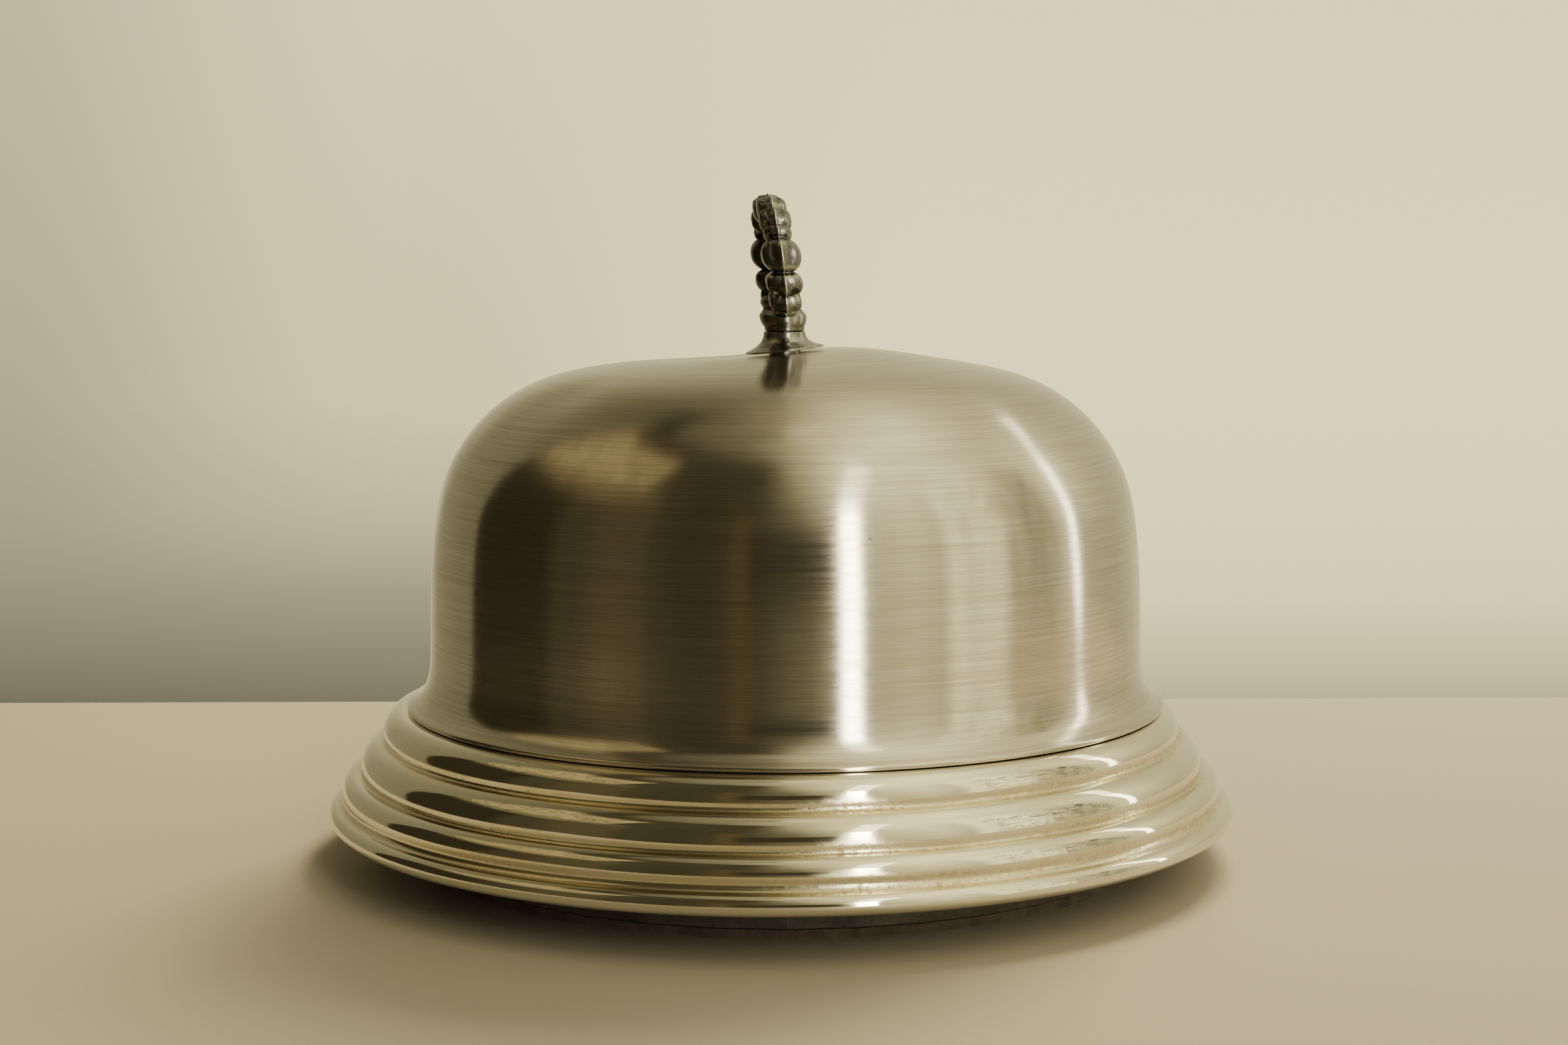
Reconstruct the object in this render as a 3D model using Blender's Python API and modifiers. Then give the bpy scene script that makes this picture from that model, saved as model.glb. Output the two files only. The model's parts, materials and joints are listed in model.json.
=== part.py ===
"""Turn-key service bell: a spun gong over a beaded base, rung by a geared flail inside."""
import math

import bmesh
import bpy
from mathutils import Matrix, Vector

# Lengths are millimetres, heights run up from the table, and MM turns them into metres.
MM = 0.001
GAP = 0.3

# The bell's own axis stands a little to one side of the beaded ring's.
BELL_AXIS_X = 0.7
TURN_STEPS = 36

# Base
PAD_TOP = 1.2
FOOT_RADIUS = 52.4
FOOT_BOTTOM = PAD_TOP + GAP
FLOOR_TOP = 6.0
FLOOR_THICKNESS = 2.6
FLANGE_RADIUS = 61.2
DRUM_TOP = 20.8
RING_THICKNESS = 0.9
RING_LIP_RADIUS = 61.3
RING_LEDGE_RADIUS = 51.0
# Each bead of the ring: radius of its centre line, height, its own radius, first and last angle.
RING_BEADS = (
    (54.5, 19.0, 3.09, 90, -21.5),
    (57.22, 14.27, 3.6, 87.5, -20.2),
    (61.27, 10.88, 2.25, 107.4, -30),
    (64.04, 7.5, 1.46, 100, -90),
)
BEAD_POINTS = 4

# Gong: outer profile from the centre hole to the rim
GONG_THICKNESS = 0.8
GONG_HOLE = 2.5
GONG_PROFILE = (
    (GONG_HOLE, 72.6), (7, 72.58), (12, 72.4), (18, 71.9), (24, 71.26), (30, 70.3), (35, 68.9),
    (39, 67.0), (42.5, 64.4), (45.2, 61.5), (47.25, 58.5), (49.0, 54.6), (50.12, 50.5),
    (51.04, 42.5), (51.3, 32), (51.5, 27.5), (52.4, 24.7), (54.6, 23.25),
)
CROWN_TOP = 72.6
# The crown is bent over with the key: its slope at the centre, and how far the bend reaches.
CROWN_SLOPE = 0.11
CROWN_REACH_X = 15.3
CROWN_REACH_Y = 22.0

# Post, spindle and the fittings on them
SPINDLE_RADIUS = 1.2
SPINDLE_BORE = SPINDLE_RADIUS + GAP
POST_RADIUS = 3.4
POST_THREAD_RADIUS = 2.2
POST_SHOULDER = 68.4
POST_TOP = 75.4
RUNNING_BORE = POST_RADIUS + GAP

# Key
KEY_SEAT = 76.0
KEY_LEAN = math.radians(7)
KEY_YAW = math.radians(5)
# Half of the loop's centre line, from its crest to its foot: reach, height, thickness radius.
KEY_LOOP = (
    (0, 93.2, 2.2), (3.2, 93.0, 2.1), (5.1, 92.2, 1.5), (6.9, 91.1, 2.25), (8.0, 89.8, 1.8),
    (8.7, 89.0, 1.95), (9.1, 88.1, 1.8), (9.4, 86.3, 2.75), (9.4, 84.2, 1.8), (8.9, 82.8, 2.6),
    (8.0, 81.4, 1.9), (6.4, 80.0, 2.3), (4.4, 79.3, 1.6), (2.2, 79.3, 1.9), (0, 79.5, 2.0),
)
COLLAR_STEPS = 20
COLLAR_PROFILE = (
    (0, 81.0), (2.4, 81.0), (3.1, 80.4), (2.75, 79.3), (3.3, 78.6), (3.5, 77.7), (3.0, 76.5),
    (2.6, KEY_SEAT), (0, KEY_SEAT),
)

# Movement: one arbor stands beside the post, and two gear pairs step the turn up to the flail.
ARBOR_X = 20.0
FIRST_MODULE = 1.0
GREAT_TEETH = 30
PINION_TEETH = 10
SECOND_MODULE = 0.8
WHEEL_TEETH = 35
FLAIL_TEETH = 15
TOOTH_SHARE = 0.42
ADDENDUM = 0.75
DEDENDUM = 1.05
GREAT_Z = (9.5, 11.3)
SECOND_Z = (18.4, 19.9)
PLATE_Z = (16.0, 17.5)
PLATE_RADIUS = 46.0
ARBOR_RADIUS = 1.0
ARBOR_HOLE = ARBOR_RADIUS + GAP
PILLAR_CIRCLE = 40.0
PILLAR_ANGLES = (60, 180, 300)
SCREW_RADIUS = 1.2
SCREW_HOLE = SCREW_RADIUS + GAP
STOP_CIRCLE = 10.5
STOP_ANGLE = 200
KEY_TRAVEL = 110

# Flail
BAR_Z = (24.9, 26.4)
STRIKER_PIVOT = 30.0
ARM_Z = (26.7, 27.9)
ARM_LENGTH = 16.6
HEAD_RADIUS = 3.5
HEAD_Z = (28.2, 31.6)
STRIKER_FOLD = 35


def clearScene():
    """Start from an empty file."""
    for obj in list(bpy.data.objects):
        bpy.data.objects.remove(obj, do_unlink=True)
    for old in list(bpy.data.collections):
        bpy.data.collections.remove(old)


def makeCollection(name):
    made = bpy.data.collections.new(name)
    bpy.context.scene.collection.children.link(made)
    return made


def makeMaterial(name, colour, metallic, roughness):
    made = bpy.data.materials.new(name)
    made.use_nodes = True
    shader = made.node_tree.nodes["Principled BSDF"]
    shader.inputs["Base Color"].default_value = (*colour, 1)
    shader.inputs["Metallic"].default_value = metallic
    shader.inputs["Roughness"].default_value = roughness
    return made


def addObject(name, data, look, parent=None, location=(0, 0, 0)):
    """Put a mesh or a curve in the bell's collection with its own material."""
    obj = bpy.data.objects.new(name, data)
    data.materials.clear()
    data.materials.append(makeMaterial(name, *LOOKS[look]))
    PARTS.objects.link(obj)
    obj.parent = parent
    obj.location = [value * MM for value in location]
    return obj


def addCutter(name, mesh, location=(0, 0, 0)):
    """A hidden solid that a Boolean takes away."""
    obj = bpy.data.objects.new(name, mesh)
    CUTTERS.objects.link(obj)
    obj.location = [value * MM for value in location]
    obj.hide_render = True
    obj.display_type = "WIRE"
    return obj


def subtract(obj, cutter):
    cutter.parent = obj.parent
    cut = obj.modifiers.new(cutter.name, "BOOLEAN")
    cut.operation = "DIFFERENCE"
    cut.object = cutter


def arc(centreX, centreZ, radius, first, last, count):
    """Points along a round stretch of a profile, angles in degrees."""
    angles = [math.radians(first + (last - first) * i / (count - 1)) for i in range(count)]
    return [(centreX + radius * math.cos(a), centreZ + radius * math.sin(a)) for a in angles]


def profileMesh(name, profile, closed):
    mesh = bpy.data.meshes.new(name)
    vertices = [(x * MM, 0, z * MM) for x, z in profile]
    edges = [(i, i + 1) for i in range(len(vertices) - 1)]
    if closed:
        edges.append((len(vertices) - 1, 0))
    mesh.from_pydata(vertices, edges, [])
    return mesh


def turned(name, profile, look, parent=None, closed=True, steps=TURN_STEPS, location=(0, 0, 0)):
    """A body of revolution; its profile runs down the outer side."""
    obj = addObject(name, profileMesh(name, profile, closed), look, parent, location)
    screw = obj.modifiers.new("Turn", "SCREW")
    screw.steps = steps
    screw.render_steps = steps
    screw.use_merge_vertices = True
    screw.merge_threshold = 0.00001
    screw.use_smooth_shade = True
    return obj


def bush(name, inner, outer, low, high, look, parent, steps=24, location=(0, 0, 0)):
    """A plain ring with a rectangular section."""
    profile = [(inner, high), (outer, high), (outer, low), (inner, low)]
    return turned(name, profile, look, parent, True, steps, location)


def disc(name, radius, low, high, look, parent, steps=20, location=(0, 0, 0)):
    """A plain solid cylinder."""
    profile = [(0, high), (radius, high), (radius, low), (0, low)]
    return turned(name, profile, look, parent, False, steps, location)


def bakedMesh(obj):
    """The object's evaluated mesh, with the object itself taken away."""
    evaluated = obj.evaluated_get(bpy.context.evaluated_depsgraph_get())
    mesh = bpy.data.meshes.new_from_object(evaluated)
    work = bmesh.new()
    work.from_mesh(mesh)
    bmesh.ops.remove_doubles(work, verts=work.verts, dist=0.000001)
    work.to_mesh(mesh)
    work.free()
    bpy.data.objects.remove(obj, do_unlink=True)
    return mesh


def copies(names, single, places, look, parent):
    """Repeat one baked piece, each copy as an object of its own."""
    mesh = bakedMesh(single)
    mesh.shade_smooth()
    mesh.set_sharp_from_angle(angle=math.radians(30))
    for name, place in zip(names, places):
        addObject(name, mesh.copy(), look, parent, place)
    bpy.data.meshes.remove(mesh)


def flatPlate(name, outlines, low, high, look, parent=None, location=(0, 0, 0)):
    """A sheet cut to the first outline, with the others as holes."""
    curve = bpy.data.curves.new(name, "CURVE")
    curve.dimensions = "2D"
    curve.fill_mode = "BOTH"
    curve.extrude = (high - low) / 2 * MM
    for outline in outlines:
        spline = curve.splines.new("POLY")
        spline.points.add(len(outline) - 1)
        for point, (x, y) in zip(spline.points, outline):
            point.co = (x * MM, y * MM, 0, 1)
        spline.use_cyclic_u = True
    x, y, z = location
    return addObject(name, curve, look, parent, (x, y, z + (low + high) / 2))


def circle(radius, count, x=0, y=0):
    return arc(x, y, radius, 0, 360 * (count - 1) / count, count)


def wire(name, points, radius, look, parent, cyclic=False, radii=None):
    """A round wire or casting along a line of points, as thick as each point says."""
    curve = bpy.data.curves.new(name, "CURVE")
    curve.dimensions = "3D"
    curve.bevel_depth = radius * MM
    curve.bevel_resolution = 2
    curve.use_fill_caps = True
    spline = curve.splines.new("POLY")
    spline.points.add(len(points) - 1)
    for i, (point, place) in enumerate(zip(spline.points, points)):
        point.co = (*(value * MM for value in place), 1)
        point.radius = radii[i] if radii else 1
    spline.use_cyclic_u = cyclic
    return addObject(name, curve, look, parent)


def gearOutline(teeth, module, firstTooth):
    """Straight-sided teeth with running backlash; the first tooth stands at firstTooth degrees."""
    pitchRadius = teeth * module / 2
    half = math.pi / teeth * TOOTH_SHARE
    flank = (
        (pitchRadius - DEDENDUM * module, half * 1.25),
        (pitchRadius, half),
        (pitchRadius + ADDENDUM * module, half * 0.52),
    )
    outline = []
    for tooth in range(teeth):
        centre = math.radians(firstTooth) + tooth * 2 * math.pi / teeth
        rising = [(r, centre - h) for r, h in flank]
        falling = [(r, centre + h) for r, h in reversed(flank)]
        outline += [(r * math.cos(a), r * math.sin(a)) for r, a in rising + falling]
    return outline


def window(inner, outer, first, last, count=7):
    """An opening between two radii of a wheel."""
    return arc(0, 0, outer, first, last, count) + arc(0, 0, inner, last, first, count)


def bendCrown(mesh, low, high):
    """Bend a piece with the crown: not at all at the height low, fully from the height high."""
    for vertex in mesh.vertices:
        x, y, z = vertex.co / MM
        share = min(1, max(0, (z - low) / (high - low)))
        fade = math.exp(-abs(x / CROWN_REACH_X) ** 2.2 - (y / CROWN_REACH_Y) ** 2)
        vertex.co.z += CROWN_SLOPE * x * fade * share * MM


def numbered(name, count):
    return [f"{name}_{i + 1}" for i in range(count)]


def polar(radius, angle, height=0):
    a = math.radians(angle)
    return (radius * math.cos(a), radius * math.sin(a), height)


def screwPiece(headLow, headHigh, headRadius, tip):
    """One cheese-head screw on the axis, its shank running from the head to the tip."""
    if tip < headLow:
        profile = [(0, headHigh), (headRadius - 0.3, headHigh), (headRadius, headHigh - 0.3),
                   (headRadius, headLow), (SCREW_RADIUS, headLow), (SCREW_RADIUS, tip), (0, tip)]
    else:
        profile = [(0, tip), (SCREW_RADIUS, tip), (SCREW_RADIUS, headHigh), (headRadius, headHigh),
                   (headRadius, headLow + 0.3), (headRadius - 0.3, headLow), (0, headLow)]
    return turned("screw", profile, "steel", None, False, 12)


def buildBase(bell):
    bush("foot_pad", 45, 51.8, 0, PAD_TOP, "felt", bell, TURN_STEPS)
    plate = [
        (ARBOR_HOLE, 8), (6, 8), (6, FLOOR_TOP), (FOOT_RADIUS - 2, FLOOR_TOP),
        (FOOT_RADIUS - 2, DRUM_TOP), (FOOT_RADIUS, DRUM_TOP), (FOOT_RADIUS, 8.4),
        (FLANGE_RADIUS, 8.4), (FLANGE_RADIUS, 7.35), (FOOT_RADIUS, 7.35),
        (FOOT_RADIUS, FOOT_BOTTOM), (44.4, FOOT_BOTTOM), (44.4, FLOOR_TOP - FLOOR_THICKNESS),
        (ARBOR_HOLE, FLOOR_TOP - FLOOR_THICKNESS),
    ]
    basePlate = turned("base_plate", plate, "castIron", bell)
    for index, angle in enumerate(PILLAR_ANGLES):
        drill = bakedMesh(disc("drill", SCREW_HOLE, 0, FLOOR_TOP + 2, "steel", None, 16))
        subtract(basePlate, addCutter(f"floor_hole_{index}", drill, polar(PILLAR_CIRCLE, angle)))
    feet = [polar(PILLAR_CIRCLE, angle) for angle in PILLAR_ANGLES]
    copies(numbered("base_screw", 3), screwPiece(1.7, 3.1, 2.6, 9.6), feet, "steel", bell)
    pillar = bush("pillar", SCREW_HOLE, 3.5, FLOOR_TOP + GAP, PLATE_Z[0] - GAP, "brass", None, 16)
    copies(numbered("pillar", 3), pillar, feet, "brass", bell)
    copies(numbered("plate_screw", 3), screwPiece(17.8, 19.3, 2.6, 10.6), feet, "steel", bell)


def buildRing():
    """The beaded ring sits on the drum's edge and is spun in under the flange."""
    outline = [(RING_LEDGE_RADIUS, 22.09)]
    for bead in RING_BEADS:
        outline += arc(*bead, BEAD_POINTS)
    outline.append((RING_LIP_RADIUS, 6.04))
    ring = turned("base_ring", outline, "silver", None, False)
    shell = ring.modifiers.new("Wall", "SOLIDIFY")
    shell.thickness = RING_THICKNESS * MM
    shell.offset = -1


def buildGong(bell):
    """The gong is a thin spun shell whose crown is bent over with the key."""
    spun = turned("spun", GONG_PROFILE, "nickel", None, False)
    mesh = bakedMesh(spun)
    bendCrown(mesh, 20, 60)
    gong = addObject("gong", mesh, "nickel", bell)
    shell = gong.modifiers.new("Wall", "SOLIDIFY")
    shell.thickness = GONG_THICKNESS * MM
    shell.offset = -1


def buildPost(bell):
    post = [
        (SPINDLE_BORE, POST_TOP), (POST_THREAD_RADIUS, POST_TOP), (POST_THREAD_RADIUS, POST_SHOULDER),
        (6, POST_SHOULDER), (6, POST_SHOULDER - 1.5), (POST_RADIUS, POST_SHOULDER - 5),
        (POST_RADIUS, 18.1), (5.4, 18.1), (5.4, PLATE_Z[1] + GAP), (SPINDLE_BORE, PLATE_Z[1] + GAP),
    ]
    turned("centre_post", post, "steel", bell, True, 24)
    bush("retaining_collar", RUNNING_BORE, 6, 26.7, 29, "brass", bell)
    bush("seat_washer", GONG_HOLE, 7, POST_SHOULDER + GAP, 69.5, "steel", bell)
    felt = bakedMesh(bush("felt", GONG_HOLE, 6.6, 69.8, CROWN_TOP - GONG_THICKNESS - GAP, "felt", None))
    bendCrown(felt, 69.9, 71.2)
    addObject("felt_washer", felt, "felt", bell)
    skirt = [(3.0, 75.7), (3.1, 75.1), (3.6, 74.3), (4.4, 73.75), (5.65, 73.25), (5.65, 72.95),
             (GONG_HOLE, 72.95), (GONG_HOLE, 75.7)]
    rose = bakedMesh(turned("skirt", skirt, "oxidised", None, True, 24))
    bendCrown(rose, 75.6, 73.3)
    addObject("rose", rose, "oxidised", bell)


def buildPlate(bell):
    holes = [circle(SPINDLE_BORE, 16), circle(ARBOR_HOLE, 14, ARBOR_X)]
    holes += [circle(SCREW_HOLE, 14, *polar(PILLAR_CIRCLE, a)[:2]) for a in PILLAR_ANGLES]
    holes += [circle(SCREW_HOLE, 12, 41, y) for y in (-3.2, 3.2)]
    holes += [window(12, 32, middle - 26, middle + 26) for middle in (120, 240)]
    flatPlate("movement_plate", [circle(PLATE_RADIUS, 48), *holes], *PLATE_Z, "brass", bell)


def buildArborBridge(bell):
    """The bridge stands on the plate and holds the arbor's upper pivot above its wheel."""
    side = [(37, 17.8), (45, 17.8), (45, 22.6), (15.5, 22.6), (15.5, 21.1), (37, 21.1)]
    solid = bakedMesh(flatPlate("bridge", [side], -5, 5, "brass"))
    solid.transform(Matrix.Rotation(math.radians(90), 4, "X"))
    bridge = addObject("arbor_bridge", solid, "brass", bell)
    spots = ((ARBOR_X, 0, ARBOR_HOLE), (41, -3.2, SCREW_HOLE), (41, 3.2, SCREW_HOLE))
    for index, (x, y, radius) in enumerate(spots):
        drill = bakedMesh(disc("drill", radius, 16, 24, "steel", None, 14))
        subtract(bridge, addCutter(f"bridge_hole_{index}", drill, (x, y, 0)))
    screws = [(41, y, 0) for y in (-3.2, 3.2)]
    copies(numbered("bridge_screw", 2), screwPiece(22.9, 24.2, 2.2, 13.5), screws, "steel", bell)
    bush("arbor_bush", ARBOR_HOLE, 3, FLOOR_TOP + GAP, 8.4, "brass", bell, 20, (ARBOR_X, 0, 0))


def buildKeyCasting(key):
    """A lobed loop on a beaded collar, cast in one, bored for the spindle."""
    other = [(-reach, height, thick) for reach, height, thick in reversed(KEY_LOOP[1:-1])]
    whole = [*KEY_LOOP, *other]
    loop = [(0, reach, height) for reach, height, _ in whole]
    radii = [thick for _, _, thick in whole]
    casting = wire("casting", loop, 1, "oxidised", None, True, radii)
    joined = bpy.data.objects.new("casting_loop", bakedMesh(casting))
    CUTTERS.objects.link(joined)
    collarTurning = turned("collar", COLLAR_PROFILE, "oxidised", None, False, COLLAR_STEPS)
    collar = addCutter("collar_body", bakedMesh(collarTurning))
    union = joined.modifiers.new("Collar", "BOOLEAN")
    union.operation = "UNION"
    union.object = collar
    mesh = bakedMesh(joined)
    bpy.data.objects.remove(collar, do_unlink=True)
    mesh.transform(Matrix.Rotation(KEY_YAW, 4, "Z"))
    for vertex in mesh.vertices:
        vertex.co.x -= (vertex.co.z - KEY_SEAT * MM) * math.tan(KEY_LEAN)
    mesh.shade_smooth()
    casting = addObject("key", mesh, "oxidised", key)
    bore = bakedMesh(disc("drill", SPINDLE_BORE, 70, 80, "steel", None, 20))
    subtract(casting, addCutter("key_bore", bore))
    hole = bakedMesh(disc("drill", 1.0, 0, 6, "steel", None, 14))
    hole.transform(Matrix.Rotation(math.radians(-90), 4, "X"))
    subtract(casting, addCutter("set_screw_hole", hole, (-0.2, 0, 77.7)))


def buildKey(key):
    buildKeyCasting(key)
    screw = bakedMesh(disc("screw", 0.7, 1.5, 3.4, "steel", None, 12))
    screw.transform(Matrix.Rotation(math.radians(-90), 4, "X"))
    addObject("key_set_screw", screw, "steel", key, (-0.2, 0, 77.7))
    spindle = [(0, 79.5), (SPINDLE_RADIUS, 79.5), (SPINDLE_RADIUS, 8.6), (ARBOR_RADIUS, 8.6),
               (ARBOR_RADIUS, 4), (0, 4)]
    turned("spindle", spindle, "steel", key, False, 16)
    free = window(8.6, 12.4, STOP_ANGLE - KEY_TRAVEL - 12, STOP_ANGLE + 12, 14)
    spokes = [window(4.6, 12.4, first, first + 56) for first in (224, 290, 356)]
    outline = gearOutline(GREAT_TEETH, FIRST_MODULE, 0)
    holes = [circle(SPINDLE_BORE, 16), free, *spokes]
    flatPlate("great_wheel", [outline, *holes], *GREAT_Z, "brass", key)
    bush("wheel_collet", SPINDLE_BORE, 3, GREAT_Z[1] + GAP, 14.6, "brass", key, 20)
    turns, coils = 34, 2.8
    spiral = []
    for i in range(turns + 1):
        share = i / turns
        spiral.append(polar(3.9 + 8.1 * share, 360 * coils * share, 13.1))
    wire("return_spring", spiral, 0.4, "steel", key)


def buildStuds(bell):
    """The stop in the great wheel's slot, and the anchor of the return spring."""
    x, y, _ = polar(STOP_CIRCLE, STOP_ANGLE)
    stop = [(0, 12.1), (0.9, 12.1), (0.9, 7.5), (1.6, 7.5), (1.6, FLOOR_TOP + GAP), (0, FLOOR_TOP + GAP)]
    turned("stop_stud", stop, "steel", bell, False, 14, (x, y, 0))
    disc("spring_stud", 1.0, 11.9, PLATE_Z[0] - GAP, "steel", bell, 12, polar(13.7, 288 + 8))


def buildArbor(arbor):
    """The arbor carries a pinion below the plate and a wheel above it."""
    shaft = [(0, 22.4), (ARBOR_RADIUS, 22.4), (ARBOR_RADIUS, 6.6), (0, 6.6)]
    turned("arbor", shaft, "steel", arbor, False, 14)
    firstGap = 180 + 180 / PINION_TEETH
    pinion = [gearOutline(PINION_TEETH, FIRST_MODULE, firstGap), circle(ARBOR_HOLE, 14)]
    flatPlate("arbor_pinion", pinion, 9.3, 11.5, "steel", arbor)
    wheel = gearOutline(WHEEL_TEETH, SECOND_MODULE, 180)
    spokes = [window(4.4, 11.4, first, first + 54) for first in range(18, 378, 72)]
    flatPlate("arbor_wheel", [wheel, circle(ARBOR_HOLE, 14), *spokes], *SECOND_Z, "brass", arbor)


def buildFlail(flail):
    gap = 180 / FLAIL_TEETH
    teeth = [gearOutline(FLAIL_TEETH, SECOND_MODULE, gap), circle(RUNNING_BORE, 20)]
    flatPlate("flail_pinion", teeth, *SECOND_Z, "steel", flail)
    bush("flail_hub", RUNNING_BORE, 5.1, SECOND_Z[1] + GAP, BAR_Z[0] - GAP, "brass", flail)
    end = 3.2
    bar = arc(STRIKER_PIVOT, 0, end, -75, 75, 7)
    bar += arc(0, 0, 7.5, 30, 150, 7)
    bar += arc(-STRIKER_PIVOT, 0, end, 105, 255, 7)
    bar += arc(0, 0, 7.5, 210, 330, 7)
    pins = (-STRIKER_PIVOT, STRIKER_PIVOT)
    holes = [circle(RUNNING_BORE, 20)] + [circle(SCREW_HOLE, 14, x) for x in pins]
    flatPlate("striker_bar", [bar, *holes], *BAR_Z, "steel", flail)
    rivet = [(0, 29.4), (SCREW_RADIUS, 29.4), (SCREW_RADIUS, 24.6), (2.4, 24.6), (2.4, 23.8), (0, 23.8)]
    pin = turned("pin", rivet, "steel", None, False, 14)
    places = [(x, 0, 0) for x in pins]
    copies(("striker_pin_left", "striker_pin_right"), pin, places, "steel", flail)


def buildStriker(side, striker, outward):
    """A swinging arm with its weight, folded back from the bar's line."""
    turn = Matrix.Rotation(math.radians(outward + STRIKER_FOLD), 4, "Z")
    arm = arc(ARM_LENGTH, 0, 2.6, -80, 80, 7) + arc(0, 0, 3, 75, 285, 9)
    holes = [circle(SCREW_HOLE, 14)]
    plate = flatPlate(f"striker_arm_{side}", [arm, *holes], *ARM_Z, "steel", striker)
    plate.data.transform(turn)
    head = [(0, HEAD_Z[1]), (HEAD_RADIUS - 0.6, HEAD_Z[1]), (HEAD_RADIUS, HEAD_Z[1] - 0.6),
            (HEAD_RADIUS, HEAD_Z[0] + 0.6), (HEAD_RADIUS - 0.6, HEAD_Z[0]), (0, HEAD_Z[0])]
    x, y, _ = turn @ Vector((ARM_LENGTH, 0, 0))
    turned(f"striker_head_{side}", head, "brass", striker, False, 24, (x, y, 0))


def axisEmpty(name, x, parent=None):
    """An empty on a joint's vertical axis."""
    empty = bpy.data.objects.new(name, None)
    PARTS.objects.link(empty)
    empty.parent = parent
    empty.location = (x * MM, 0, 0)
    return empty


def buildBell():
    bell = axisEmpty("bell_axis", BELL_AXIS_X)
    buildBase(bell)
    buildRing()
    buildGong(bell)
    buildPost(bell)
    buildPlate(bell)
    buildArborBridge(bell)
    buildStuds(bell)
    buildKey(axisEmpty("key_axis", 0, bell))
    buildArbor(axisEmpty("arbor_axis", ARBOR_X, bell))
    flail = axisEmpty("flail_axis", 0, bell)
    buildFlail(flail)
    buildStriker("left", axisEmpty("striker_left_axis", -STRIKER_PIVOT, flail), 180)
    buildStriker("right", axisEmpty("striker_right_axis", STRIKER_PIVOT, flail), 0)


LOOKS = {
    "nickel": ((0.62, 0.58, 0.52), 1.0, 0.32),
    "silver": ((0.78, 0.74, 0.66), 1.0, 0.15),
    "oxidised": ((0.4, 0.38, 0.33), 1.0, 0.35),
    "brass": ((0.72, 0.55, 0.28), 1.0, 0.3),
    "steel": ((0.5, 0.5, 0.5), 1.0, 0.35),
    "castIron": ((0.12, 0.12, 0.12), 0.6, 0.7),
    "felt": ((0.1, 0.08, 0.06), 0.0, 0.95),
}
clearScene()
PARTS = makeCollection("service_bell")
CUTTERS = makeCollection("cutters")
buildBell()
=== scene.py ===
import json
import math

import bmesh
import bpy
import numpy as np
from mathutils import Matrix, Vector


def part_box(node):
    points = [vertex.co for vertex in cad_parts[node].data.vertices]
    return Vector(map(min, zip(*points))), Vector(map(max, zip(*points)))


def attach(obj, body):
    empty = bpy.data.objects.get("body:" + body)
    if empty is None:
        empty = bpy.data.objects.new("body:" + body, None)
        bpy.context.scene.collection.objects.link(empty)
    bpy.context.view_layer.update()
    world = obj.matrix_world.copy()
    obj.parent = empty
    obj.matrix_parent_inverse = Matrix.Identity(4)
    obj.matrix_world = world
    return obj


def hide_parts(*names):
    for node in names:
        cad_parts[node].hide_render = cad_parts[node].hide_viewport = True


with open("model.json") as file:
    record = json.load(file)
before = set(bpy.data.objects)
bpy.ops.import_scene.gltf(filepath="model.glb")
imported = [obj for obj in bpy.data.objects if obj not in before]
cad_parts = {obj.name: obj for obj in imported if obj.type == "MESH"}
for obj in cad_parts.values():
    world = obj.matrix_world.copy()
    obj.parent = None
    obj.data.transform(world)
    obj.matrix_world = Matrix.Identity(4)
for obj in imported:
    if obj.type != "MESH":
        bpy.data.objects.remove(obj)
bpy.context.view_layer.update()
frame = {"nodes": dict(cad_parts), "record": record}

mm = 0.001
gongLow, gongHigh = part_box("gong")
bellX = (gongLow.x + gongHigh.x) / 2 / mm  # the gong's axis; the beaded ring stands about x = 0
print("frame loaded, bell axis at", round(bellX, 3), "mm")


# Small helpers for meshes.

def makeObject(name, mesh):
    obj = bpy.data.objects.new(name, mesh)
    bpy.context.scene.collection.objects.link(obj)
    return obj


def smoothCurve(points, perSpan):
    # uniform cubic B-spline that starts and ends on the first and last point
    pts = np.array([points[0], points[0], *points, points[-1], points[-1]], float)
    t = np.linspace(0, 1, perSpan, endpoint=False)[:, None]
    spans = []
    for p0, p1, p2, p3 in zip(pts, pts[1:], pts[2:], pts[3:]):
        spans.append(((1 - t) ** 3 * p0 + (3 * t ** 3 - 6 * t ** 2 + 4) * p1
                      + (-3 * t ** 3 + 3 * t ** 2 + 3 * t + 1) * p2 + t ** 3 * p3) / 6)
    return np.vstack([*spans, pts[-1:]])


def arcPoints(centreR, centreZ, radius, first, last, count):
    a = np.radians(np.linspace(first, last, count))
    return np.stack([centreR + radius * np.cos(a), centreZ + radius * np.sin(a)], 1)


def evenSteps(line, step):
    # the same line with points every step millimetres
    gaps = np.hypot(*np.diff(line, axis=0).T)
    line = line[np.r_[True, gaps > 1e-6]]
    run = np.r_[0, np.cumsum(np.hypot(*np.diff(line, axis=0).T))]
    marks = np.linspace(0, run[-1], max(3, round(run[-1] / step)))
    return np.stack([np.interp(marks, run, line[:, k]) for k in (0, 1)], 1)


def lineNormals(line):
    # to the left of the way along an outline that runs down its outer side: outward
    way = np.gradient(line, axis=0)
    way /= np.maximum(np.hypot(way[:, 0], way[:, 1]), 1e-9)[:, None]
    return np.stack([-way[:, 1], way[:, 0]], 1)


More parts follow.
